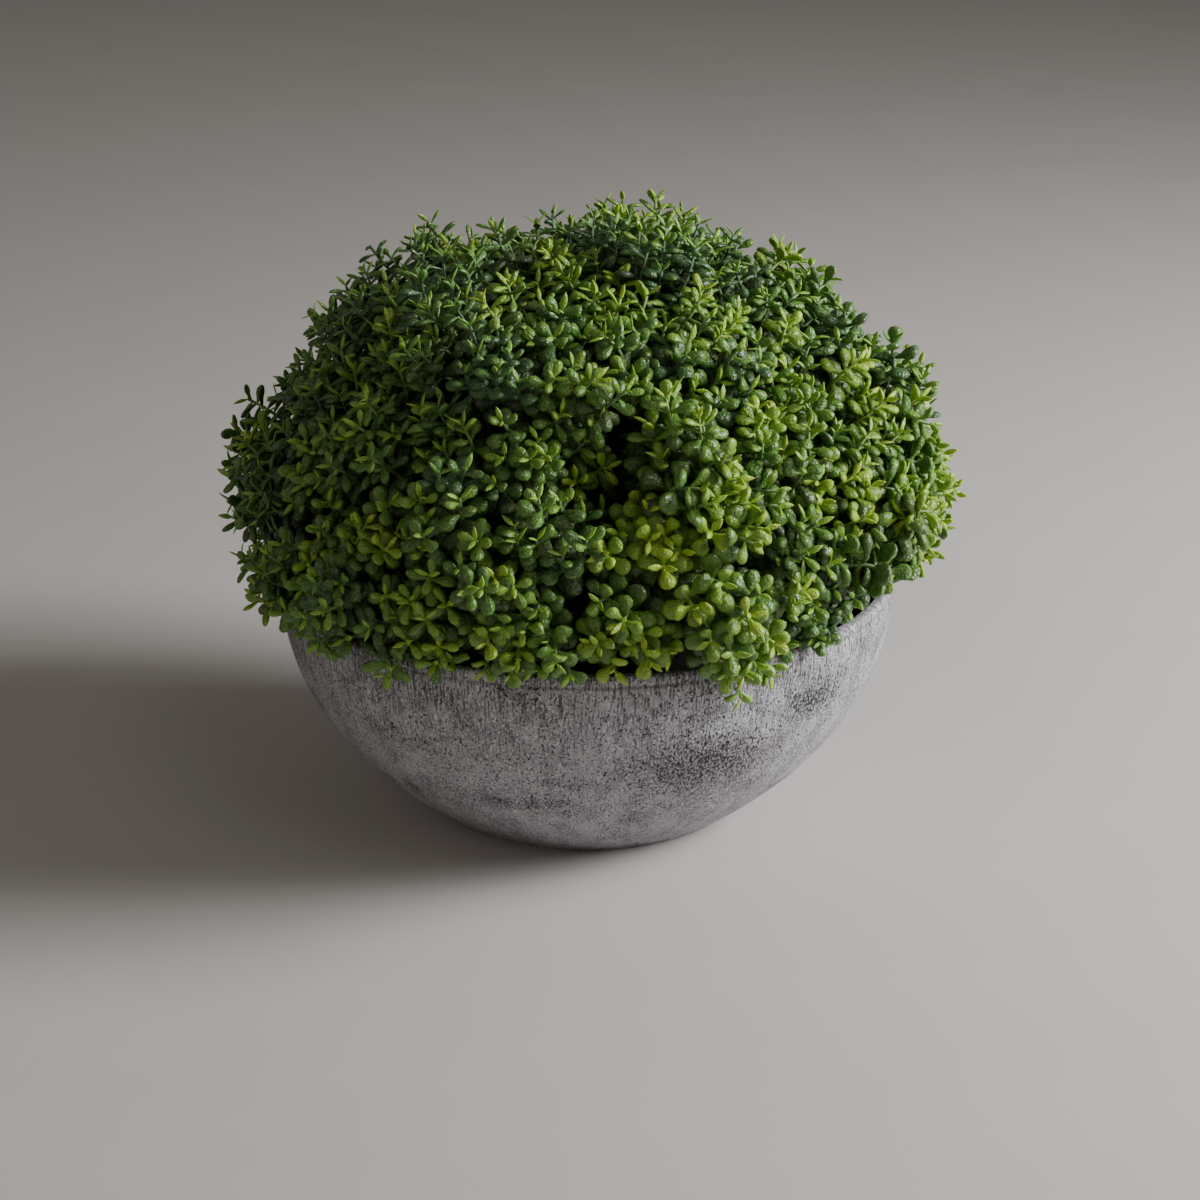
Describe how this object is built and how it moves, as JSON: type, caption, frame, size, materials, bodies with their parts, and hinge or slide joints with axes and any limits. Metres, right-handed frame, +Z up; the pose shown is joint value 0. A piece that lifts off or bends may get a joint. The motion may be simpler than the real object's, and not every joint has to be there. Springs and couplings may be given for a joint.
{
  "type": "artificial hebe ball in a bowl",
  "caption": "Artificial hebe ball: a dense dome of glossy green sprigs in a round-bottomed grey bowl, to stand on a table or shelf.",
  "frame": {"origin": "centre of the bowl's flat underside, where it stands", "axes": "+Z up through the crown; -Y the front; +X to the right seen from the front"},
  "size_m": [0.2663, 0.2651, 0.2116],
  "materials": {
    "bowl_limewash": "lime-washed grey over dark, matte, with fine dark cracks and specks",
    "filling_foam": "dark brown foam, matte and grainy",
    "limb_plastic": "moulded plastic stem, dull green-brown",
    "foliage_green": "moulded soft plastic leaves, waxy, lime to dark green"
  },
  "bodies": {
    "root": {"bowl": "bowl_limewash", "filling": "filling_foam", "stem": "limb_plastic", "bough_front_right": "limb_plastic", "bough_right": "limb_plastic", "bough_back_right": "limb_plastic", "bough_back": "limb_plastic", "bough_back_left": "limb_plastic", "bough_left": "limb_plastic", "bough_front_left": "limb_plastic", "bough_upper_front": "limb_plastic", "bough_upper_right": "limb_plastic", "bough_upper_left": "limb_plastic", "mass_front_right": "foliage_green", "mass_right": "foliage_green", "mass_back_right": "foliage_green", "mass_back": "foliage_green", "mass_back_left": "foliage_green", "mass_left": "foliage_green", "mass_front_left": "foliage_green", "mass_upper_front": "foliage_green", "mass_upper_right": "foliage_green", "mass_upper_left": "foliage_green"}
  },
  "joints": []
}
